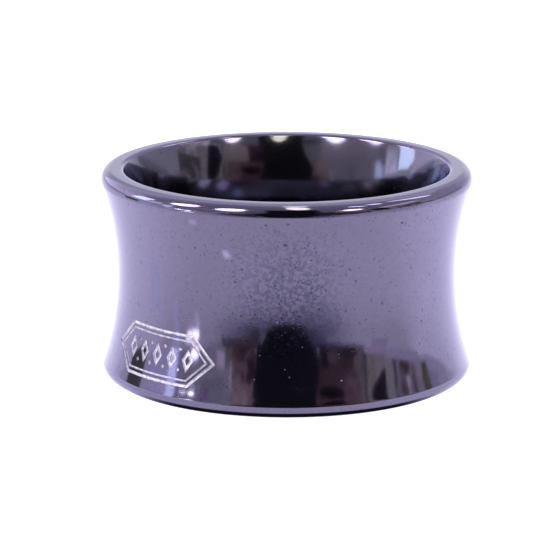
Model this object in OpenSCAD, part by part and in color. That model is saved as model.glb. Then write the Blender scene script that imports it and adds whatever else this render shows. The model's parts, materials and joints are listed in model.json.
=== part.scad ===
// Plain wide band ring in polished titanium, lying on its side.
// The finger axis is +Z, and the origin is at the middle of the rim face that the ring rests on.
// The outer face is hollowed like a pulley, the finger hole is eased towards both mouths, and a
// small ornament is cut into the outer face near the lower rim.

/* [Band] */
// Width of the band along the finger
band_w = 12; // [11:0.5:14]
// Outer diameter over the rims, at their widest
rim_d = 21.25; // [21:0.05:22]
// Outer diameter at the waist, in the middle of the hollow outer face
waist_d = 19.5; // [19.2:0.05:20]
// Radius of the rounded outer edge of each rim
outer_edge_r = 0.6; // [0.4:0.05:0.65]
// Radius of the softened inner edge of each rim
inner_edge_r = 0.25; // [0.1:0.05:0.3]

/* [Finger hole] */
// Diameter of the finger hole at its tightest
bore_d = 16.7; // [16.5:0.05:17]
// Length of the straight stretch in the middle of the finger hole
bore_land = 2; // [1:0.5:3]
// Radius of the curve that eases the finger hole open towards each mouth
flare_r = 13; // [12:0.5:16]

/* [Ornament] */
// Turn of the ornament round the band, from the front towards the left
ornament_turn = 46; // [0:1:180]
// Height of the middle of the ornament above the resting face
ornament_z = 2.75; // [2.55:0.05:9.2]
// Length of the pointed frame along the band
frame_l = 7.8; // [7.4:0.1:9]
// Height of the pointed frame
frame_h = 2.9; // [2.8:0.1:3]
// Width of the outer line of the frame
line_w = 0.17; // [0.12:0.01:0.2]
// Distance between the two lines of the frame
line_gap = 0.15; // [0.12:0.01:0.18]
// Width of the inner line of the frame
inner_line_w = 0.11; // [0.08:0.01:0.13]
// Depth of the cut lines
cut_depth = 0.06; // [0.03:0.01:0.12]
// Number of lozenges in the row inside the frame
lozenges = 5; // [3:1:6]
// Length of the row, between the middles of its end lozenges
row_l = 4.4; // [3.6:0.1:4.6]
// Width of a lozenge
lozenge_w = 0.72; // [0.5:0.02:0.8]
// Height of a lozenge
lozenge_h = 1.3; // [0.8:0.02:1.3]
// Size of a lozenge's uncut core, as a share of the lozenge
lozenge_core = 0.4; // [0.3:0.05:0.7]
// Width of the small diamonds above and below each gap in the row
diamond_w = 0.26; // [0.16:0.02:0.3]
// Distance of the small diamonds from the middle of the row
diamond_z = 0.56; // [0.4:0.02:0.66]

/* [Hidden] */
$fn = 180;

bore_r = bore_d / 2;
rim_r = rim_d / 2;
waist_r = waist_d / 2;
mid_z = band_w / 2;

// The rounded edges stand this far proud of an exact tangent, so that each arc crosses its
// neighbour at a clean point instead of grazing it
proud = 0.002;

// Centre of the outer edge, and the waist arc that runs into both outer edges
edge_c_r = rim_r - outer_edge_r;
edge_c_z = mid_z - outer_edge_r;
edge_touch_r = outer_edge_r - proud;
waist_drop = edge_c_r - waist_r;
waist_arc_r = (pow(waist_drop, 2) + pow(edge_c_z, 2) - pow(edge_touch_r, 2))
    / (2 * (edge_touch_r + waist_drop));
waist_c_r = waist_r + waist_arc_r;
outer_share = edge_touch_r / (waist_arc_r + edge_touch_r);
outer_meet_r = edge_c_r + (waist_c_r - edge_c_r) * outer_share;
outer_meet_z = edge_c_z * (1 - outer_share);

// Centre of the inner edge, and where it meets the flare of the finger hole
flare_c_r = bore_r + flare_r;
flare_c_z = bore_land / 2;
inner_c_z = mid_z - inner_edge_r;
flare_touch_r = flare_r - inner_edge_r + proud;
inner_c_r = flare_c_r - sqrt(pow(flare_touch_r, 2) - pow(inner_c_z - flare_c_z, 2));
inner_share = flare_r / flare_touch_r;
inner_meet_r = flare_c_r - (flare_c_r - inner_c_r) * inner_share;
inner_meet_z = flare_c_z + (inner_c_z - flare_c_z) * inner_share;

// How far the inner line of the frame lies inside the outside of the outer line
inner_line_in = line_w + line_gap;

// Pitch of the row of lozenges
pitch = row_l / (lozenges - 1);

// Length of the prism that carries the ornament into the outer face
prism_l = 4;

// Half of the cross-section, above the middle, as radius and height above the middle
module half_section() {
    difference() {
        union() {
            polygon([
                [bore_r, 0],
                [outer_meet_r, 0],
                [outer_meet_r, outer_meet_z],
                [edge_c_r, edge_c_z],
                [edge_c_r, mid_z],
                [inner_c_r, mid_z],
                [inner_c_r, inner_c_z],
                [inner_meet_r, inner_meet_z],
                [bore_r, flare_c_z]
            ]);
            translate([edge_c_r, edge_c_z])
                circle(r = outer_edge_r);
            translate([inner_c_r, inner_c_z])
                circle(r = inner_edge_r);
            intersection() {
                translate([flare_c_r, flare_c_z])
                    circle(r = flare_r);
                translate([bore_r, flare_c_z])
                    square([inner_c_r - bore_r, inner_meet_z - flare_c_z]);
            }
        }
        translate([waist_c_r, 0])
            circle(r = waist_arc_r);
    }
}

module section() {
    half_section();
    mirror([0, 1])
        half_section();
}

module ring_body() {
    translate([0, 0, mid_z])
        rotate_extrude()
            section();
}

// Outline with a square point at each end, w long and h high
module pointed(w, h) {
    flat = (w - h) / 2;
    polygon([
        [-w / 2, 0],
        [-flat, -h / 2],
        [flat, -h / 2],
        [w / 2, 0],
        [flat, h / 2],
        [-flat, h / 2]
    ]);
}

// A pointed line t wide, whose outside lies in from the outside of the frame
module frame_line(in, t) {
    difference() {
        pointed(frame_l - 2 * sqrt(2) * in, frame_h - 2 * in);
        pointed(frame_l - 2 * sqrt(2) * (in + t), frame_h - 2 * (in + t));
    }
}

module lozenge(w, h) {
    polygon([[-w / 2, 0], [0, -h / 2], [w / 2, 0], [0, h / 2]]);
}

module ornament_outline() {
    frame_line(0, line_w);
    frame_line(inner_line_in, inner_line_w);
    for (i = [0 : lozenges - 1])
        translate([i * pitch - row_l / 2, 0])
            difference() {
                lozenge(lozenge_w, lozenge_h);
                lozenge(lozenge_w * lozenge_core, lozenge_h * lozenge_core);
            }
    for (i = [0 : lozenges - 2], side = [-1, 1])
        translate([(i + 0.5) * pitch - row_l / 2, side * diamond_z])
            lozenge(diamond_w, diamond_w);
}

// The cut reaches cut_depth under the hollow outer face, whose arc it follows
module ornament_cut() {
    intersection() {
        rotate([0, 0, -90 - ornament_turn])
            translate([waist_r - prism_l / 2, 0, ornament_z])
                rotate([90, 0, 90])
                    linear_extrude(height = prism_l)
                        ornament_outline();
        translate([0, 0, mid_z])
            rotate_extrude()
                translate([waist_c_r, 0])
                    circle(r = waist_arc_r + cut_depth);
    }
}

module band() {
    color("#6e6a7c")
        difference() {
            ring_body();
            ornament_cut();
        }
}

band();
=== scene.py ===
"""A wide band ring in dark, mirror-polished titanium, lying on its side on a white table.

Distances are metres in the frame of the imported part: +Z is the finger axis, the ring rests on z = 0,
and -Y is the side that the photograph shows.
"""

import json
import math

import bmesh
import bpy
from mathutils import Matrix, Vector


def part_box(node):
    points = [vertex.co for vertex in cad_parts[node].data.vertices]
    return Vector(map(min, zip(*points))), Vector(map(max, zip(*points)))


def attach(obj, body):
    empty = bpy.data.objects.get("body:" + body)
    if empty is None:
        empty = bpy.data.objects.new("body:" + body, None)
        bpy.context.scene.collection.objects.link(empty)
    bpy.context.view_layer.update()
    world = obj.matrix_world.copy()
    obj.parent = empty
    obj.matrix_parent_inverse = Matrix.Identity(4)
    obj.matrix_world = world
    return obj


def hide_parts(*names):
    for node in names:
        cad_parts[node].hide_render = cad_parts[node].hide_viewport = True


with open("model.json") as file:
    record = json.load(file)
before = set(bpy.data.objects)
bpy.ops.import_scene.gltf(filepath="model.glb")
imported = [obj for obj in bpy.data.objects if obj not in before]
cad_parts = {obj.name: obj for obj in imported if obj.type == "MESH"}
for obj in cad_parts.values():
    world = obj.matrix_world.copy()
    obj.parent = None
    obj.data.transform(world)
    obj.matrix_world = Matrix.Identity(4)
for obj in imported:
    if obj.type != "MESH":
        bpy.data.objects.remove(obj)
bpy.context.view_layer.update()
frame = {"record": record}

# Camera. It stands in front of the ring and looks down at it, as close as the photograph's
# perspective shows. The aim is a little left of the ring, which puts the ring right of the middle.
mm = 0.001
low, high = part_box("band")
ring_middle = (low + high) / 2
camera_distance = 191.1 * mm
camera_elevation = math.radians(13.64)
camera_lens = 222.2
sensor_width = 36.0
aim_left = 1.01 * mm
aim_down = 0.05 * mm

to_camera = Vector((0, -math.cos(camera_elevation), math.sin(camera_elevation)))
camera_up = Vector((0, math.sin(camera_elevation), math.cos(camera_elevation)))
camera_data = bpy.data.cameras.new("camera")
camera_data.lens = camera_lens
camera_data.sensor_width = sensor_width
camera_data.clip_start = 10 * mm
camera = bpy.data.objects.new("camera", camera_data)
aim = ring_middle - Vector((aim_left, 0, 0)) - camera_up * aim_down
camera.location = aim + to_camera * camera_distance
camera.rotation_euler = to_camera.to_track_quat("Z", "Y").to_euler()
bpy.context.scene.collection.objects.link(camera)
bpy.context.scene.camera = camera
bpy.context.scene.view_settings.view_transform = "Standard"

# Band. The whole ring is turned from one bar of titanium: a hollowed outer face between two
# rounded rims, flat rim faces, and a finger hole that is eased open to both mouths. Its section
# is drawn as arcs that run into each other, and is then swept once round the finger axis.
half_w = (high.z - low.z) / 2
rim_r = high.x
waist_r = 9.75 * mm
outer_edge_r = 0.6 * mm
inner_edge_r = 0.25 * mm
flare_r = 13 * mm
finger_hole = next(m for m in frame["record"]["mounts"] if m["name"] == "finger_hole")
bore_r = finger_hole["dims"]["r_mm"] * mm
land_w = finger_hole["dims"]["length_mm"] * mm
waist_steps = 21
outer_edge_steps = 20
rim_steps = 3
inner_edge_steps = 10
flare_steps = 14
land_steps = 2
steps_round = 480
weld = 0.0005 * mm
sharp_angle = math.radians(30)


def sweep(mesh, start, centre, degrees, steps):
    """Carries the last vertex of the section along an arc, and returns where it ends."""
    made = bmesh.ops.spin(
        mesh,
        geom=[start],
        cent=centre,
        axis=(0, 1, 0),
        angle=math.radians(degrees),
        steps=steps,
        use_merge=False,
    )
    return made["geom_last"][0]


def run(mesh, start, end, steps):
    """Carries the last vertex of the section along a straight line to its end."""
    step = (end - start.co) / steps
    for _ in range(steps):
        made = bmesh.ops.extrude_vert_indiv(mesh, verts=[start])
        start = made["verts"][0]
        start.co += step
    return start


# The arc of the hollowed face runs without a corner into the rounded outer edge of each rim
outer_edge = Vector((rim_r - outer_edge_r, 0, half_w - outer_edge_r))
rise = outer_edge.x - waist_r
waist_arc_r = (outer_edge.z**2 + rise**2 - outer_edge_r**2) / (2 * (outer_edge_r + rise))
waist_centre = Vector((waist_r + waist_arc_r, 0, 0))
waist_turn = math.degrees(math.atan2(outer_edge.z, waist_centre.x - outer_edge.x))

# The flare of the finger hole runs in the same way into the softened inner edge
flare_centre = Vector((bore_r + flare_r, 0, land_w / 2))
inner_edge_z = half_w - inner_edge_r
inner_reach = flare_r - inner_edge_r
inner_back = math.sqrt(inner_reach**2 - (inner_edge_z - flare_centre.z) ** 2)
inner_edge = Vector((flare_centre.x - inner_back, 0, inner_edge_z))
flare_turn = math.degrees(math.asin((inner_edge_z - flare_centre.z) / inner_reach))

band = bmesh.new()
point = band.verts.new((waist_r, 0, 0))
point = sweep(band, point, waist_centre, waist_turn, waist_steps)
point = sweep(band, point, outer_edge, -(90 + waist_turn), outer_edge_steps)
point = run(band, point, Vector((inner_edge.x, 0, half_w)), rim_steps)
point = sweep(band, point, inner_edge, -(90 - flare_turn), inner_edge_steps)
point = sweep(band, point, flare_centre, -flare_turn, flare_steps)
run(band, point, Vector((bore_r, 0, 0)), land_steps)
bmesh.ops.mirror(
    band, geom=band.verts[:] + band.edges[:], matrix=Matrix.Identity(4), merge_dist=weld, axis="Z"
)
bmesh.ops.translate(band, verts=band.verts, vec=(0, 0, ring_middle.z))
bmesh.ops.spin(
    band,
    geom=band.verts[:] + band.edges[:],
    cent=(0, 0, 0),
    axis=(0, 0, 1),
    angle=math.tau,
    steps=steps_round,
    use_merge=True,
)
bmesh.ops.remove_doubles(band, verts=band.verts, dist=weld)
bmesh.ops.recalc_face_normals(band, faces=band.faces)

# Ornament. It is engraved into the outer face near the lower rim, left of the front: a frame of
# two lines with pointed ends, and inside it a row of hollow lozenges with small diamonds between.
# Its outlines are cut into the polished face, and what lies between them is sunk by the cut.
ornament_left = 46
ornament_turn = math.radians(-90 - ornament_left)
ornament_z = 2.75 * mm
frame_l = 7.8 * mm
frame_h = 2.9 * mm
line_w = 0.17 * mm
line_gap = 0.15 * mm
inner_line_w = 0.11 * mm
cut_depth = 0.06 * mm
cut_slope = 0.03 * mm
lozenges = 5
row_l = 4.4 * mm
lozenge_w = 0.72 * mm
lozenge_h = 1.3 * mm
lozenge_core = 0.4
diamond_w = 0.26 * mm
diamond_z = 0.56 * mm
cut_reach = 0.2 * mm
outwards = Vector((math.cos(ornament_turn), math.sin(ornament_turn), 0))
along = Vector((-outwards.y, outwards.x, 0))


def pointed(length, height):
    """Corners of an outline with a square point at each end."""
    flat = (length - height) / 2
    right = [(flat, -height / 2), (length / 2, 0), (flat, height / 2)]
    return right + [(-s, -z) for s, z in right]


def lozenge(middle_s, middle_z, width, height):
    """Corners of a lozenge."""
    return [
        (middle_s + width / 2, middle_z),
        (middle_s, middle_z + height / 2),
        (middle_s - width / 2, middle_z),
        (middle_s, middle_z - height / 2),
    ]


def on_ornament(place):
    """How far a point lies along the ornament and above its middle."""
    return place.dot(along), place.z - ornament_z


def inside(corners, s, z):
    """Whether a point lies inside an outline whose corners run anticlockwise."""
    sides = zip(corners, corners[1:] + corners[:1])
    return all((s1 - s0) * (z - z0) > (z1 - z0) * (s - s0) for (s0, z0), (s1, z1) in sides)


inner_line = line_w + line_gap
outlines = []
for inset in (0, line_w, inner_line, inner_line + inner_line_w):
    outlines.append(pointed(frame_l - 2 * math.sqrt(2) * inset, frame_h - 2 * inset))
pitch = row_l / (lozenges - 1)
for i in range(lozenges):
    for share in (1, lozenge_core):
        outlines.append(lozenge(i * pitch - row_l / 2, 0, lozenge_w * share, lozenge_h * share))
for i in range(lozenges - 1):
    for side in (-1, 1):
        middle_s = (i + 0.5) * pitch - row_l / 2
        outlines.append(lozenge(middle_s, side * diamond_z, diamond_w, diamond_w))

# Only the faces round the ornament are cut, and each side of an outline cuts those beside it
patch = []
for face in band.faces:
    middle = face.calc_center_median()
    s, z = on_ornament(middle)
    if middle.dot(outwards) > 0 and middle.xy.length > waist_r - weld:
        if abs(s) < frame_l / 2 + line_w and abs(z) < frame_h / 2 + line_w:
            patch.append(face)
for corners in outlines:
    for (s0, z0), (s1, z1) in zip(corners, corners[1:] + corners[:1]):
        near, rest = [], []
        for face in patch:
            s, z = on_ornament(face.calc_center_median())
            beside = min(s0, s1) - cut_reach < s < max(s0, s1) + cut_reach
            level = min(z0, z1) - cut_reach < z < max(z0, z1) + cut_reach
            (near if beside and level else rest).append(face)
        touched = set(near)
        for face in near:
            touched.update(face.edges)
            touched.update(face.verts)
        cut = bmesh.ops.bisect_plane(
            band,
            geom=list(touched),
            dist=weld,
            plane_co=along * s0 + Vector((0, 0, ornament_z + z0)),
            plane_no=(along * (z1 - z0) - Vector((0, 0, s1 - s0))).normalized(),
        )
        patch = rest + [part for part in cut["geom"] if isinstance(part, bmesh.types.BMFace)]

# A face inside an odd number of outlines belongs to a line, a lozenge or a diamond, and is sunk
sunk = []
for face in patch:
    s, z = on_ornament(face.calc_center_median())
    if sum(inside(corners, s, z) for corners in outlines) % 2 == 1:
        sunk.append(face)
walls = bmesh.ops.inset_region(
    band, faces=sunk, thickness=cut_slope, depth=-cut_depth, use_boundary=True, use_even_offset=True
)

# The outside, the engraved lines and the finger hole each have a finish of their own, and the
# finger hole's is darkened with painted shade
outside_slot, engraved_slot, bore_slot = range(3)
for face in band.faces:
    face.smooth = True
    in_bore = face.calc_center_median().xy.length < inner_edge.x - inner_edge_r
    face.material_index = bore_slot if in_bore else outside_slot
for face in sunk + walls["faces"]:
    face.material_index = engraved_slot


def finished(shape, name):
    """Ends the work on a shape and puts the piece that it makes in the scene."""
    mesh = bpy.data.meshes.new(name)
    shape.to_mesh(mesh)
    shape.free()
    piece = bpy.data.objects.new(name, mesh)
    bpy.context.scene.collection.objects.link(piece)
    return piece


band_piece = finished(band, "titanium_band")
band_piece.data.set_sharp_from_angle(angle=sharp_angle)


def material(name):
    """A new material, its nodes, and the shader that it ends in."""
    made = bpy.data.materials.new(name)
    made.use_nodes = True
    nodes = made.node_tree.nodes
    return made, nodes, made.node_tree.links, nodes["Principled BSDF"]


def eased(nodes, links, source, start, finish, low=0.0, high=1.0):
    """A value that eases from low to high while its source goes from start to finish."""
    made = nodes.new("ShaderNodeMapRange")
    made.interpolation_type = "SMOOTHSTEP"
    links.new(source, made.inputs["Value"])
    made.inputs["From Min"].default_value = start
    made.inputs["From Max"].default_value = finish
    made.inputs["To Min"].default_value = low
    made.inputs["To Max"].default_value = high
    return made.outputs["Result"]


def worked(nodes, links, operation, *values):
    """The outcome of a sum on values that are numbers or come from other nodes."""
    made = nodes.new("ShaderNodeMath")
    made.operation = operation
    for value, socket in zip(values, made.inputs):
        if isinstance(value, (int, float)):
            socket.default_value = value
        else:
            links.new(value, socket)
    return made.outputs["Value"]


def noise(nodes, links, place, scale, detail, stretch=(1, 1, 1)):
    """Soft unevenness over the surface, drawn out along the axes that stretch makes small."""
    mapping = nodes.new("ShaderNodeMapping")
    mapping.inputs["Scale"].default_value = stretch
    links.new(place, mapping.inputs["Vector"])
    made = nodes.new("ShaderNodeTexNoise")
    made.inputs["Scale"].default_value = scale
    made.inputs["Detail"].default_value = detail
    links.new(mapping.outputs["Vector"], made.inputs["Vector"])
    return made.outputs["Fac"]


def spot(nodes, links, place, centre, size, turn=0.0):
    """1 in the middle of a spot and 0 outside it. Its centre and its size are in millimetres."""
    mapping = nodes.new("ShaderNodeMapping")
    mapping.vector_type = "TEXTURE"
    mapping.inputs["Location"].default_value = [value * mm for value in centre]
    mapping.inputs["Rotation"].default_value = (0, math.radians(turn), 0)
    mapping.inputs["Scale"].default_value = [value * mm for value in size]
    links.new(place, mapping.inputs["Vector"])
    length = nodes.new("ShaderNodeVectorMath")
    length.operation = "LENGTH"
    links.new(mapping.outputs["Vector"], length.inputs[0])
    return eased(nodes, links, length.outputs["Value"], 1, 0)


def pits(nodes, links, place, across, density, stretch=1, turn=0.0):
    """Small ragged hollows of many depths, so many millimetres across, in as large a share of the
    cells as the density says. Stretched, they become strokes that lean to one side."""
    wander = nodes.new("ShaderNodeTexNoise")
    wander.inputs["Scale"].default_value = 1.2 / (across * mm)
    links.new(place, wander.inputs["Vector"])
    shift = nodes.new("ShaderNodeVectorMath")
    shift.operation = "MULTIPLY_ADD"
    links.new(wander.outputs["Color"], shift.inputs[0])
    shift.inputs[1].default_value = [0.9 * across * mm] * 3
    links.new(place, shift.inputs[2])
    mapping = nodes.new("ShaderNodeMapping")
    mapping.vector_type = "TEXTURE"
    mapping.inputs["Rotation"].default_value = (0, math.radians(turn), 0)
    mapping.inputs["Scale"].default_value = (1, 1, stretch)
    links.new(shift.outputs["Vector"], mapping.inputs["Vector"])
    cells = nodes.new("ShaderNodeTexVoronoi")
    cells.inputs["Scale"].default_value = 0.5 / (across * mm)
    links.new(mapping.outputs["Vector"], cells.inputs["Vector"])
    pick = nodes.new("ShaderNodeSeparateColor")
    links.new(cells.outputs["Color"], pick.inputs["Color"])
    chosen = worked(nodes, links, "LESS_THAN", pick.outputs["Red"], density)
    depth = eased(nodes, links, pick.outputs["Green"], 0, 1, 0.2, 1)
    depth = worked(nodes, links, "MULTIPLY", chosen, depth)
    hollow = eased(nodes, links, cells.outputs["Distance"], 0.5, 0.1)
    return worked(nodes, links, "MULTIPLY", depth, hollow)


def ramp(nodes, links, source, *stops):
    """A colour that follows a value through stops, each of them a position and a colour."""
    made = nodes.new("ShaderNodeValToRGB")
    elements = made.color_ramp.elements
    for element, (position, colour) in zip(elements, (stops[0], stops[-1])):
        element.position = position
        element.color = (*colour, 1)
    for position, colour in stops[1:-1]:
        elements.new(position).color = (*colour, 1)
    links.new(source, made.inputs["Fac"])
    return made.outputs["Color"]


def relief(nodes, links, shader, height, strength, depth):
    """Fine relief on a shader, from a height."""
    bump = nodes.new("ShaderNodeBump")
    bump.inputs["Strength"].default_value = strength
    bump.inputs["Distance"].default_value = depth
    links.new(height, bump.inputs["Height"])
    links.new(bump.outputs["Normal"], shader.inputs["Normal"])


def polished_titanium(name, colour, wear, polish):
    """Dark titanium with a violet cast, polished to a mirror and worn: fine pits and mottling that
    gather on the front, hairlines, thin marks round the band, a few smears and specks of dust. The
    pits are darkened with painted shade."""
    pit_shade_and_stain_colour = (0.028, 0.024, 0.075, 1)
    made, nodes, links, shader = material(name)
    shader.inputs["Metallic"].default_value = 1
    shader.inputs["Specular Tint"].default_value = (0.88, 0.88, 1, 1)
    place = nodes.new("ShaderNodeTexCoord").outputs["Object"]

    # Pits of five sizes, and mottling between them
    gathered = spot(nodes, links, place, (0, -9.8, 6.8), (4.4, 6, 5.2))
    uneven = noise(nodes, links, place, 0.45 / mm, 4)
    patchy = eased(nodes, links, uneven, 0.42, 0.7)
    rate = worked(nodes, links, "MULTIPLY_ADD", gathered, 0.62 * wear, 0.03)
    rate = worked(nodes, links, "MULTIPLY_ADD", patchy, 0.1 * wear, rate)
    clustered = eased(nodes, links, noise(nodes, links, place, 1.6 / mm, 2), 0.4, 0.62, 0.15, 1.4)
    rate = worked(nodes, links, "MULTIPLY", rate, clustered)
    pitted = 0.0
    for across, share, stretch, turn in (
        (0.14, 0.27, 1.3, 70),
        (0.085, 0.7, 1.4, -50),
        (0.06, 1.3, 1, 0),
        (0.045, 0.7, 4, 42),
        (0.04, 0.6, 4, -55),
    ):
        density = worked(nodes, links, "MULTIPLY", rate, share)
        found = pits(nodes, links, place, across, density, stretch, turn)
        pitted = worked(nodes, links, "MAXIMUM", pitted, found)
    mottled = eased(nodes, links, noise(nodes, links, place, 4.2 / mm, 4), 0.42, 0.6)
    mottling = worked(nodes, links, "MULTIPLY_ADD", gathered, 0.9 * wear, 0.12 * wear)
    mottled = worked(nodes, links, "MULTIPLY", mottled, mottling)

    # Hairlines, and thin marks left by turning
    hair = noise(nodes, links, place, 0.5 / mm, 2, (1, 1, 0.6))
    hair = worked(nodes, links, "ABSOLUTE", worked(nodes, links, "SUBTRACT", hair, 0.5))
    hair = worked(nodes, links, "MULTIPLY", eased(nodes, links, hair, 0.006, 0), patchy)
    turned = eased(nodes, links, noise(nodes, links, place, 1 / mm, 3, (0.25, 0.25, 14)), 0.6, 0.75)

    # Smears, specks of dust, and crumbs that lie close together
    smear = 0.0
    for centre, size, turn, strength in (
        ((-3.33, -9.46, 9.05), (0.32, 1, 0.48), -34, 0.85),
        ((-5.18, -9.1, 10.8), (0.35, 1, 0.3), 0, 0.35),
        ((1.15, -9.92, 8.76), (0.16, 1, 0.05), 0, 0.8),
        ((2.97, -9.8, 2.01), (0.09, 1, 0.09), 0, 1.6),
        ((0.82, -9.85, 3.92), (0.05, 1, 0.06), 0, 1.6),
        ((-0.15, -10.08, 2.71), (0.06, 1, 0.05), 0, 1.8),
        ((0.11, -10.17, 2.3), (0.05, 1, 0.05), 0, 1.8),
        ((-1.53, -9.83, 3.45), (0.05, 1, 0.07), 0, 1.4),
        ((-1.82, -10.04, 2.14), (0.06, 1, 0.05), 0, 1.4),
        ((-0.55, -9.75, 5.3), (0.06, 1, 0.12), 20, 1.2),
    ):
        found = spot(nodes, links, place, centre, size, turn)
        found = worked(nodes, links, "MULTIPLY", found, strength)
        smear = worked(nodes, links, "MAXIMUM", smear, found)
    crumbs = spot(nodes, links, place, (2.6, -9.65, 3.35), (0.6, 2, 0.6))
    crumbs = worked(nodes, links, "MULTIPLY", crumbs, pits(nodes, links, place, 0.07, 0.6))
    smear = worked(nodes, links, "MAXIMUM", smear, crumbs)

    # Colour, a little paler on marks that lie on the metal, dark with painted shade in its pits, and
    # darker in its mottled stains
    shade = worked(nodes, links, "MULTIPLY_ADD", hair, 0.14, 1.04)
    shade = worked(nodes, links, "MULTIPLY_ADD", smear, 1.2, shade)
    uneven = worked(nodes, links, "SUBTRACT", uneven, 0.5)
    shade = worked(nodes, links, "MULTIPLY_ADD", uneven, 0.16, shade)
    tint = nodes.new("ShaderNodeVectorMath")
    tint.operation = "SCALE"
    tint.inputs[0].default_value = colour
    links.new(shade, tint.inputs["Scale"])
    dark = nodes.new("ShaderNodeMix")
    dark.data_type = "RGBA"
    pit_shade_and_stains = worked(nodes, links, "MULTIPLY", pitted, 0.9)
    pit_shade_and_stains = worked(nodes, links, "MAXIMUM", pit_shade_and_stains, worked(nodes, links, "MULTIPLY", mottled, 0.48))
    links.new(pit_shade_and_stains, dark.inputs["Factor"])
    links.new(tint.outputs["Vector"], dark.inputs["A"])
    dark.inputs["B"].default_value = pit_shade_and_stain_colour
    links.new(dark.outputs["Result"], shader.inputs["Base Color"])

    # Roughness and relief
    rough = noise(nodes, links, place, 0.3 / mm, 6)
    rough = eased(nodes, links, rough, 0.35, 0.75, polish, 1.6 * polish)
    rough = worked(nodes, links, "MULTIPLY_ADD", pitted, 0.06, rough)
    rough = worked(nodes, links, "MULTIPLY_ADD", hair, 0.1, rough)
    rough = worked(nodes, links, "MULTIPLY_ADD", turned, 0.03, rough)
    rough = worked(nodes, links, "MULTIPLY_ADD", smear, 0.3, rough)
    links.new(rough, shader.inputs["Roughness"])
    height = worked(nodes, links, "MULTIPLY", pitted, -1.0)
    height = worked(nodes, links, "MULTIPLY_ADD", turned, -0.03, height)
    relief(nodes, links, shader, height, 0.3, 0.005 * mm)
    return made


def engraved_titanium():
    """Bare titanium in the cut lines, paler, with the grain that the cutter left."""
    made, nodes, links, shader = material("engraved_titanium")
    shader.inputs["Metallic"].default_value = 1
    place = nodes.new("ShaderNodeTexCoord").outputs["Object"]
    grain = noise(nodes, links, place, 6 / mm, 5)
    colour = ramp(nodes, links, grain, (0.3, (0.3, 0.27, 0.34)), (0.62, (0.62, 0.58, 0.65)))
    links.new(colour, shader.inputs["Base Color"])
    links.new(eased(nodes, links, grain, 0.3, 0.7, 0.32, 0.5), shader.inputs["Roughness"])
    relief(nodes, links, shader, grain, 0.6, 0.02 * mm)
    return made


outside_colour = (0.139, 0.126, 0.202)
# The finger hole's darker colour is painted shade inside the hole
bore_colour_with_painted_shade = (0.1, 0.094, 0.132)
finishes = band_piece.data.materials
finishes.append(polished_titanium("polished_titanium", outside_colour, wear=1, polish=0.07))
finishes.append(engraved_titanium())
finishes.append(polished_titanium("worn_bore_with_painted_shade", bore_colour_with_painted_shade, wear=0.15, polish=0.092))
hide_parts("band")
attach(band_piece, "root")

# Table. Plain, white and lit, so bright that the photograph shows it as pure white. Hardly any
# light comes up under the ring, and the table is brighter towards the back.
# The shade beneath the ring and the brightness towards the back are painted into the table's glow.
table_half_w = 1.5
table = bmesh.new()
bmesh.ops.create_grid(table, x_segments=1, y_segments=1, size=table_half_w)
table_piece = finished(table, "table")


def table_place(nodes, links):
    """How far to the right, how far back and how far out from the ring's axis a point lies."""
    place = nodes.new("ShaderNodeTexCoord").outputs["Object"]
    parts = nodes.new("ShaderNodeSeparateXYZ")
    links.new(place, parts.inputs["Vector"])
    right, back = parts.outputs["X"], parts.outputs["Y"]
    out = worked(nodes, links, "MULTIPLY", right, right)
    out = worked(nodes, links, "SQRT", worked(nodes, links, "MULTIPLY_ADD", back, back, out))
    return right, back, out


def table_with_painted_light_and_shade():
    """White and lit from within, with painted shade beneath the ring and in the crevice at its
    front, and painted light that grows towards the back, close round the ring and to the sides.
    """
    made, nodes, links, shader = material("table_with_painted_light_and_shade")
    shader.inputs["Base Color"].default_value = (0.8, 0.8, 0.8, 1)
    shader.inputs["Roughness"].default_value = 1
    shader.inputs["Specular IOR Level"].default_value = 0
    shader.inputs["Emission Color"].default_value = (1, 0.97, 1.03, 1)
    right, back, out = table_place(nodes, links)
    # Painted shade: hardly any glow beneath the ring, and less in the crevice at its front
    painted_shade_beneath_ring = eased(nodes, links, out, 9.95 * mm, 10.1 * mm, 0.1, 1)
    front = eased(nodes, links, back, -5 * mm, -8.5 * mm)
    rim = eased(nodes, links, out, 10.05 * mm, 10.25 * mm, 0.9, 0)
    crevice = worked(nodes, links, "SUBTRACT", 1, worked(nodes, links, "MULTIPLY", front, rim))
    # Painted light: the glow grows towards the back, close round the ring and to the sides
    painted_light = eased(nodes, links, back, -20 * mm, 3 * mm, 0.45, 1.05)
    for way, start, finish, low, high in (
        (out, 16, 52, 0.4, 0),
        (right, -1, -14, 0, 0.04),
        (right, 2, 18, 0, 0.11),
    ):
        more = eased(nodes, links, way, start * mm, finish * mm, low, high)
        painted_light = worked(nodes, links, "ADD", painted_light, more)
    glow = worked(nodes, links, "MULTIPLY", worked(nodes, links, "MULTIPLY", painted_shade_beneath_ring, crevice), painted_light)
    links.new(glow, shader.inputs["Emission Strength"])
    return made


table_piece.data.materials.append(table_with_painted_light_and_shade())

# Room. Pale down at the table's edge all round. Higher up, the side that the camera stands on is
# dim, and the ceiling grows brighter towards the back, down to a dimmer wall behind the ring.
room = bpy.data.worlds.new("room")
bpy.context.scene.world = room
room.use_nodes = True
nodes = room.node_tree.nodes
links = room.node_tree.links
parts = nodes.new("ShaderNodeSeparateXYZ")
links.new(nodes.new("ShaderNodeTexCoord").outputs["Generated"], parts.inputs["Vector"])
backwards = nodes.new("ShaderNodeMapRange")
backwards.inputs["From Min"].default_value = -1
links.new(parts.outputs["Y"], backwards.inputs["Value"])
levels = ((0.54, 0.68), (0.66, 0.9), (0.78, 1.45), (0.86, 1.4), (0.95, 0.95))
ceiling = [(position, (level, 0.97 * level, 1.05 * level)) for position, level in levels]
front, behind = (0.2, (0.46, 0.45, 0.48)), (1, (0.55, 0.53, 0.58))
upper = ramp(nodes, links, backwards.outputs["Result"], front, *ceiling, behind)
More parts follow.
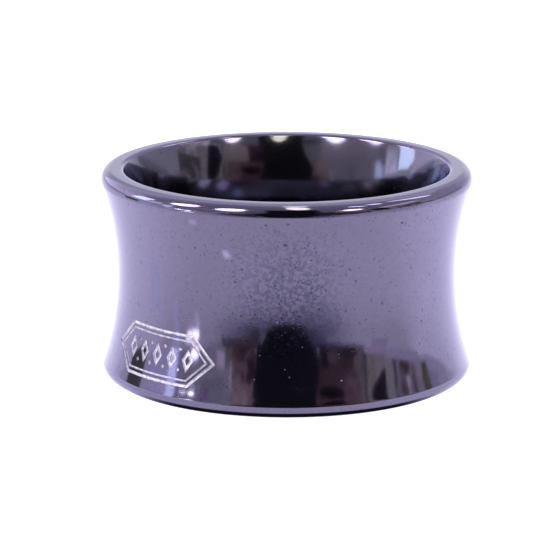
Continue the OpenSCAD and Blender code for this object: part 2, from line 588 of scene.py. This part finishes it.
whole = nodes.new("ShaderNodeMix")
whole.data_type = "RGBA"
links.new(eased(nodes, links, parts.outputs["Z"], 0.16, 0.33), whole.inputs["Factor"])
whole.inputs["A"].default_value = (1.3, 1.3, 1.35, 1)
links.new(upper, whole.inputs["B"])
links.new(whole.outputs["Result"], nodes["Background"].inputs["Color"])

# Shade. What stands in front of the ring keeps the light off the table there, and the ring keeps
# it out of the gap under its own edge. A thin sheet just over the table carries that shade, and
# it shows only in the ring's polish.
shade_half_w = 0.5
shade_lift = 0.02 * mm


def only_in_polish(piece):
    """Hides a piece everywhere but in the ring's polish."""
    piece.visible_camera = False
    piece.visible_diffuse = False
    piece.visible_shadow = False


def thin_glow(nodes, links, colour, cover):
    """Ends a material in a glow, which hides what lies behind it only as far as it covers it."""
    nodes.remove(nodes["Principled BSDF"])
    glow = nodes.new("ShaderNodeEmission")
    links.new(colour, glow.inputs["Color"])
    clear = nodes.new("ShaderNodeBsdfTransparent")
    both = nodes.new("ShaderNodeMixShader")
    links.new(cover, both.inputs["Fac"])
    links.new(clear.outputs["BSDF"], both.inputs[1])
    links.new(glow.outputs["Emission"], both.inputs[2])
    links.new(both.outputs["Shader"], nodes["Material Output"].inputs["Surface"])


def shade_on_table():
    """Dark where it covers the table, blue where it thins out, and clear elsewhere."""
    made, nodes, links, _ = material("shade")
    right, back, out = table_place(nodes, links)
    slant = worked(nodes, links, "DIVIDE", right, back)
    aside = worked(nodes, links, "ABSOLUTE", worked(nodes, links, "SUBTRACT", slant, 0.06))
    middle = eased(nodes, links, aside, 0.05, 1.1, 1, 0)
    middle = worked(nodes, links, "MULTIPLY", eased(nodes, links, out, 26 * mm, 53 * mm), middle)
    far = eased(nodes, links, aside, 0.45, 1.4, 1, 0)
    far = worked(nodes, links, "MULTIPLY", eased(nodes, links, out, 30 * mm, 200 * mm), far)
    gap = eased(nodes, links, back, -5 * mm, -8.5 * mm)
    gap = worked(nodes, links, "MULTIPLY", eased(nodes, links, out, 10.6 * mm, 10.8 * mm, 1, 0), gap)
    streak = worked(nodes, links, "ABSOLUTE", worked(nodes, links, "SUBTRACT", slant, 0.25))
    streak = eased(nodes, links, streak, 0.01, 0.07, 0.25, 0)
    streak = worked(nodes, links, "MULTIPLY", streak, eased(nodes, links, out, 35 * mm, 55 * mm))
    cover = worked(nodes, links, "SUBTRACT", worked(nodes, links, "MAXIMUM", middle, far), streak)
    cover = worked(nodes, links, "MAXIMUM", cover, gap)
    colour = ramp(nodes, links, cover, (0.5, (0.06, 0.05, 0.16)), (1, (0.025, 0.025, 0.035)))
    thin_glow(nodes, links, colour, cover)
    return made


shade = bmesh.new()
bmesh.ops.create_grid(shade, x_segments=1, y_segments=1, size=shade_half_w)
bmesh.ops.translate(shade, verts=shade.verts, vec=(0, -shade_half_w, shade_lift))
shade_piece = finished(shade, "shade")
shade_piece.data.materials.append(shade_on_table())
only_in_polish(shade_piece)

# Cards. Dark and warm-toned boards, window panes and lamps stand round the table, and patches of
# colour lie on it. They stand in for the room, and show only in the ring's polish. Each of the
# boards stands a little nearer than the one before, and the edges soften over part of their width.
board_distance = 400 * mm
board_step = 1.2 * mm
card_lift = 0.03 * mm
soft_share = 0.16
softest = 1.0
softest_on_table = 2 * mm
mottle_scale = 35


def seen_at(azimuth, elevation):
    """The direction, from the ring, of an azimuth and an elevation in degrees."""
    turn, tilt = math.radians(azimuth - 90), math.radians(elevation)
    return Vector((math.cos(tilt) * math.cos(turn), math.cos(tilt) * math.sin(turn), math.sin(tilt)))


def card(name, distance, outline, low, high=None, mottle=0.35, opacity=1.0):
    """A flat card that faces the ring, or lies on the table where it has no distance. Its outline is
    as seen from the ring, in degrees: azimuth from the camera to the right, and elevation. Two
    corners make a rectangle. The card is soft at its edges and mottled, and it glows in one colour
    at its foot and, where a second is given, in that one at its top."""
    if len(outline) == 2:
        (left, foot), (right, top) = outline
        outline = ((left, foot), (right, foot), (right, top), (left, top))
    count = len(outline)
    towards = seen_at(sum(a for a, _ in outline) / count, sum(e for _, e in outline) / count)
    shape = bmesh.new()
    solid = shape.verts.layers.float.new("solid")
    corners = []
    for azimuth, elevation in outline:
        ray = seen_at(azimuth, elevation)
        reach = distance / ray.dot(towards) if distance else (card_lift - ring_middle.z) / ray.z
        corners.append(shape.verts.new(ring_middle + ray * reach))
    heights = [corner.co.z for corner in corners]
    face = shape.faces.new(corners)
    spans = [max(values) - min(values) for values in zip(*outline)]
    soft = min(softest, soft_share * min(spans))
    soft *= distance * math.radians(1) if distance else softest_on_table
    bmesh.ops.inset_region(shape, faces=[face], thickness=soft, use_boundary=True, use_even_offset=True)
    for vertex in face.verts:
        vertex[solid] = 1

    made, nodes, links, _ = material(name)
    place = nodes.new("ShaderNodeTexCoord").outputs["Object"]
    parts = nodes.new("ShaderNodeSeparateXYZ")
    links.new(place, parts.inputs["Vector"])
    upwards = eased(nodes, links, parts.outputs["Z"], min(heights), max(heights))
    patches = noise(nodes, links, place, mottle_scale, 3)
    patches = eased(nodes, links, patches, 0.3, 0.7, -mottle, mottle)
    blend = worked(nodes, links, "ADD", upwards, patches)
    edge = nodes.new("ShaderNodeAttribute")
    edge.attribute_name = "solid"
    cover = eased(nodes, links, edge.outputs["Fac"], 0, 1, 0, opacity)
    thin_glow(nodes, links, ramp(nodes, links, blend, (0, low), (1, high or low)), cover)
    piece = finished(shape, name)
    piece.data.materials.append(made)
    only_in_polish(piece)


def oval(azimuths, elevations, count=24):
    """The outline of an oval inside a range of azimuths and a range of elevations."""
    middle_a, middle_e = sum(azimuths) / 2, sum(elevations) / 2
    half_a, half_e = azimuths[1] - middle_a, elevations[1] - middle_e
    angles = [math.tau * i / count for i in range(count)]
    return [(middle_a + half_a * math.cos(t), middle_e + half_e * math.sin(t)) for t in angles]


# Each board's name, outline, colour at its foot, colour at its top, and how mottled it is
black = (0.022, 0.022, 0.027)
boards = (
    ("wall_far_left", ((-155, 7), (-108, 34)), (2.3, 2.15, 2.5), (1.5, 1.45, 1.5), 0.1),
    ("edge_far_left", ((-135, 5), (-114, 8.5)), (0.6, 0.6, 0.75), (1.0, 1.0, 1.2)),
    ("wall_far_right", ((90, 8), (155, 34)), (1.0, 1.0, 1.1), (0.95, 0.9, 0.96), 0.1),
    ("shelf_far_right", ((102, 6), (135, 10.5)), (0.42, 0.42, 0.48), (0.7, 0.7, 0.8)),
    ("wall_left", ((-77, -3), (-36, 21)), (0.72, 0.7, 0.78), (0.62, 0.62, 0.66)),
    ("wall_left_top", ((-74, 19.5), (-27, 30)), (0.72, 0.62, 0.72), (0.95, 0.82, 0.9)),
    ("corner_left", ((-57, 9), (-40, 19)), (0.5, 0.5, 0.54), (0.6, 0.6, 0.64)),
    ("purple_left", ((-56, 12), (-49.5, 16)), (0.5, 0.36, 0.62), (0.56, 0.42, 0.66)),
    ("patch_left", ((-45.5, 0), (-40, 1), (-40, 6.5), (-44.5, 5.5)), (1.35, 1.2, 1.3)),
    (
        "green_left",
        ((-40, -5), (-35, -5), (-35, 1), (-36, 6), (-39.5, 6.5)),
        (0.3, 0.3, 0.24),
        (0.5, 0.45, 0.33),
    ),
    (
        "warm_left",
        ((-36, -4.5), (-20, -4.5), (-19.5, 2), (-20, 8), (-21.5, 14), (-19, 20), (-34, 20), (-35, 8)),
        (0.2, 0.11, 0.12),
        (0.52, 0.38, 0.37),
    ),
    (
        "warm_left_top",
        ((-34, 10), (-30, 8), (-27, 12), (-24, 17), (-24, 20), (-34, 20)),
        (0.52, 0.38, 0.37),
        (0.8, 0.6, 0.54),
    ),
    ("seam_left", ((-29, 7), (-27.5, 7), (-26.5, 10.5), (-28.5, 11)), (0.2, 0.12, 0.13)),
    (
        "dark_left",
        ((-26, 3), (-20.5, 2), (-20, 8), (-23, 12), (-25.5, 11), (-24.5, 7)),
        (0.08, 0.045, 0.055),
    ),
    (
        "dark_left_foot",
        ((-36, -4.5), (-20, -4.5), (-20, -1), (-26, 0), (-28, 4), (-30, 0), (-35, -2)),
        (0.11, 0.07, 0.09),
    ),
    ("wall_right", ((52, -0.8), (66, 28)), (0.68, 0.6, 0.55), (0.85, 0.85, 0.72)),
    ("olive_right", ((52, -0.8), (57.5, 11)), (0.6, 0.55, 0.42), (0.62, 0.57, 0.44)),
    ("band_right", ((64.5, 0), (70, 27)), (0.74, 0.74, 0.64), (0.75, 0.66, 0.66)),
    ("ceiling_right", ((62, 19), (92, 34)), (0.7, 0.62, 0.6), (2.6, 2.4, 2.3)),
    ("tan_right", ((43, -1), (50, 20)), (0.36, 0.29, 0.27), (0.5, 0.42, 0.34)),
    (
        "warm_right",
        ((20, -1), (45, -1), (47, 8), (48, 18), (47, 28), (18, 28), (17, 19), (19, 14), (20.5, 8)),
        (0.14, 0.085, 0.09),
        (0.25, 0.15, 0.155),
    ),
    (
        "rose_right",
        ((35, 8), (46, 6), (47, 16), (44, 20), (36, 20)),
        (0.22, 0.13, 0.135),
        (0.42, 0.25, 0.25),
    ),
    (
        "warm_right_top",
        ((29, 19), (38, 19.5), (50, 19), (50, 28), (31, 28)),
        (0.7, 0.54, 0.48),
        (0.9, 0.76, 0.66),
    ),
    (
        "oval_right",
        ((20, 13.5), (24, 12.2), (31, 12.4), (37, 14), (35, 16), (28, 16.8), (20, 16)),
        (0.015, 0.01, 0.015),
    ),
    ("haze_right", ((38, 9.5), (46, 9), (45, 12), (38, 12)), (0.4, 0.28, 0.3)),
    ("dark_right_top", ((17, 19.5), (28, 19.5), (29, 27), (18, 29)), black, (0.13, 0.06, 0.11)),
    ("dark_right_foot", ((21, -1), (25, -1), (26, 3), (27, 6.5), (21.5, 6.5)), (0.03, 0.03, 0.03)),
    (
        "tan_right_foot",
        ((25.5, 1), (31.5, 0.8), (32, 4), (28, 4.5)),
        (0.27, 0.21, 0.18),
        (0.33, 0.22, 0.2),
    ),
    (
        "brown_right_foot",
        ((32, -1), (45, -1), (45.5, 1.5), (40, 3.2), (34, 2.5)),
        (0.06, 0.04, 0.05),
        (0.1, 0.07, 0.08),
    ),
    (
        "black_front",
        (
            (-19, -3), (-16, -4), (16, -4), (19, -1), (20.5, 4), (20.5, 16), (18, 22), (22, 30), (24, 55),
            (-19, 55), (-13, 33), (-13, 29), (-15, 24), (-19, 19), (-21.5, 16), (-20.5, 8), (-19.5, 2),
        ),
        black,
    ),
    ("grey_left_top", ((-27, 29.5), (-12, 33)), (0.2, 0.2, 0.22)),
    ("gap_right", ((49.5, 0), (52, 0), (51.5, 17), (49, 17)), (0.2, 0.18, 0.17), (0.25, 0.23, 0.2)),
    (
        "black_right",
        (
            (64.6, 4.8), (64.5, 13), (63.5, 20), (62.8, 27), (54.6, 26.5), (51.2, 20), (54, 12.5),
            (55.6, 10.6), (59.4, 7.9), (61.8, 6),
        ),
        (0.035, 0.025, 0.04),
    ),
    ("clutter_right", ((70, -1), (90, 19)), (0.62, 0.56, 0.6), (0.24, 0.22, 0.18), 0.8),
    ("bar_right", ((75.5, 2.2), (83.2, 4.6)), (0.15, 0.12, 0.11)),
    ("slit_right_1", ((71, 2.4), (72.6, 2.4), (72.6, 8.5), (71.4, 8.5)), (0.1, 0.09, 0.12)),
    ("slit_right_2", ((85.2, 3), (86.4, 3), (86.8, 9.5), (85.6, 9.5)), (0.16, 0.12, 0.14)),
    ("slit_right_3", ((75, 8.5), (76.5, 8.5), (77, 12), (75.5, 12)), (0.2, 0.15, 0.17)),
    ("shadow_right", ((79, 12), (90, 19)), (0.24, 0.24, 0.22)),
    ("spot_right_2", ((78, 4.2), (82, 4.6), (81, 6.3), (78.5, 5.8)), (0.13, 0.1, 0.11)),
    ("spot_right_3", ((84.5, 6), (87, 6), (87.5, 9.5), (85, 10)), (0.2, 0.16, 0.17)),
    ("spark_right", ((80, 6.1), (82.3, 5.9), (82, 9.9), (80.4, 9.6)), (1.7, 1.5, 1.5)),
    ("post_right", ((83, 2), (85.3, 2), (85, 6), (83.2, 6)), (0.66, 0.58, 0.48)),
    ("pale_right", ((87.5, 0.5), (93.5, 11)), (0.9, 0.8, 0.85), (0.7, 0.62, 0.62)),
    (
        "leaves_right",
        ((93.4, 1.2), (97, 0.6), (100, 3), (99.5, 7.5), (92.6, 7.2)),
        (0.2, 0.2, 0.03),
        (0.28, 0.28, 0.08),
    ),
    ("stem_right", ((100, 2.6), (108, 2), (106, 4.5), (100, 5.5)), (0.78, 0.68, 0.84)),
    ("haze_foot_1", ((50.5, -1), (67, 0.9)), (1.05, 0.9, 1.12)),
    ("haze_foot_2", ((65, -1), (92, 1.9)), (1.0, 0.95, 1.15)),
    ("pane_left", ((-97, -1), (-80, 12)), (1.2, 1.15, 1.45), (1.5, 1.45, 1.75)),
    ("pane_left_top", ((-94.5, 9.5), (-82.5, 25)), (3.0, 3.1, 3.5), (1.4, 1.35, 1.4)),
    ("blue_left", ((-80.5, -1), (-72.5, 17.5)), (1.1, 1.25, 1.9), (1.3, 1.5, 2.1)),
    ("window_narrow", ((-79.5, -1), (-73.5, 16.5)), (2.9, 3.2, 3.8), (2.6, 3.0, 3.6), 0.1),
    (
        "window_wide",
        ((-110, 13), (-105, 10.5), (-94.5, 11.5), (-93.5, 24), (-97, 32), (-108, 30)),
        (4.8, 6.2, 6.8),
        (5.8, 6.1, 6.5),
        0.1,
    ),
    ("bar_left", ((-95, 12), (-93, 26)), (0.7, 0.75, 1.1)),
    ("pink_left", ((-113, 9), (-109, 9), (-109, 12.5), (-112, 12.5)), (2.4, 1.7, 1.9)),
    ("picture_left", ((-82.5, 15), (-78, 14.5), (-77.5, 20), (-81, 21)), (0.45, 0.38, 0.5)),
    ("lamp_left", oval((-50, -30), (29.5, 55)), (12, 12, 12)),
    ("lamp_far_left", oval((-83, -65), (26.5, 50)), (12, 11, 12)),
    ("lamp_right", oval((66, 76), (57, 66)), (8, 8, 8)),
    ("lamp_right_low", oval((37, 51), (29.8, 42)), (12, 11, 10.5), None, 0.1),
    ("lamp_far_right", oval((111, 122), (36, 58)), (6, 6, 6)),
)
for number, (name, outline, *glow) in enumerate(boards):
    card(name, board_distance - number * board_step, outline, *glow)

# Patches and streaks on the table, and one haze that stands on the right, all of them thin. The foot
# patches are painted shade, and the streaks are painted reflections of the windows on the table.
# Each one's name, distance (none on the table), outline, colour and opacity
haze_outline = (
    (2, -10), (11, -11.4), (22, -11.4), (31, -9.8), (31, -6.5), (24, -4.6), (17, -6.2), (7, -8.7),
)
far_haze_outline = ((97, -1), (117, -1), (116, 3), (98, 4.6))
streak_outline_1 = ((-55.6, -9.6), (-53, -9.6), (-53.4, -6.6), (-56.4, -6.6))
streak_outline_2 = ((-75.6, -3.3), (-73.4, -6.2), (-68.4, -6.2), (-68.8, -3.3))
streak_outline_3 = ((-73, -5.6), (-70, -10.6), (-67.5, -10.6), (-68.4, -5.6))
for name, distance, outline, colour, opacity in (
    ("foot_green", None, ((-41, -4.8), (-35, -0.95)), (0.13, 0.16, 0.15), 0.85),
    ("foot_warm", None, ((-36, -4.6), (-19, -4.4), (-18, -0.95), (-36, -0.95)), (0.2, 0.12, 0.14), 0.9),
    ("foot_dark", None, ((14, -2.2), (33, -2.6), (33, -0.95), (14, -0.95)), (0.06, 0.07, 0.1), 0.85),
    ("foot_blue", None, ((14, -6), (24, -5), (26, -0.95), (14, -0.95)), (0.12, 0.1, 0.28), 0.5),
    ("foot_haze", None, haze_outline, (0.28, 0.26, 0.48), 0.26),
    ("foot_rose", None, ((32, -2.1), (51, -1.7), (51, -0.95), (32, -0.95)), (0.25, 0.17, 0.22), 0.8),
    ("foot_pink", None, ((54, -4.6), (66, -0.95)), (0.7, 0.52, 0.7), 0.4),
    ("haze_far_right", 330 * mm, far_haze_outline, (0.85, 0.76, 0.98), 0.55),
    ("streak_white", None, streak_outline_1, (2.2, 2.2, 2.4), 0.4),
    ("streak_blue", None, streak_outline_2, (1.8, 2.15, 3), 0.55),
    ("streak_top", None, streak_outline_3, (1.7, 2, 2.7), 0.3),
    ("streak_pale", None, ((-89, -12.6), (-81, -9.6)), (1.5, 1.7, 2.2), 0.35),
):
    card(name, distance, outline, colour, opacity=opacity)

# A box close to the ring on its left, and a black patch like a dome on the table at its front,
# which is a painted shadow
box_outline = ((-109, -4.8), (-95, -4.8), (-96, 4.6), (-109, 4.6))
card("box_left", 70 * mm, box_outline, (0.2, 0.2, 0.18), (0.27, 0.26, 0.25))
dome_outline = (
    (-13, -4.6), (-12.4, -5.8), (-10.2, -6.8), (-8.7, -7.4), (-5.3, -8), (0, -8.2), (5.3, -8),
    (8.7, -7.4), (10.9, -6.5), (12.7, -5.4), (14.4, -3.9), (15.6, -1.7), (15.5, -0.95),
    (-17, -0.95), (-15, -3.2),
)
card("painted_shadow_dome", None, dome_outline, black)

# Lamps and glints close to the ring, all plain: each one's name, distance in millimetres, outline
# and colour
glint_outline_1 = ((-60.3, -6.3), (-57.1, -6.6), (-57.3, -5.2), (-60.4, -5.3))
glint_outline_2 = ((-56.9, -6.8), (-52, -6.5), (-52.2, -5.5), (-54.4, -5.2), (-56.4, -5.3))
lamp_above_outline = ((20, 71), (52, 82.5), (114, 84.5), (180, 86.6), (-14, 85.3), (-3, 72))
for name, distance, outline, colour in (
    ("glint_left_1", 38, glint_outline_1, (11, 11, 11)),
    ("glint_left_2", 38, glint_outline_2, (11, 11, 11)),
    ("glint_left_3", 38.5, oval((-56.6, -51), (-4, -2)), (9, 9, 9)),
    ("glint_left_4", 38, oval((-62, -57.4), (2.9, 5.4)), (18, 18, 18)),
    ("glint_left_5", 38, oval((-56.4, -52), (3.2, 5.6)), (18, 18, 18)),
    ("lamp_near", 27.8, oval((-1, 16), (49, 74)), (7, 7, 4.4)),
    ("lamp_above", 26, lamp_above_outline, (3.6, 3.5, 3.2)),
    ("lamp_near_left", 28.5, oval((57, 65), (50, 58)), (7, 6.6, 7)),
):
    card(name, distance * mm, outline, colour, mottle=0)
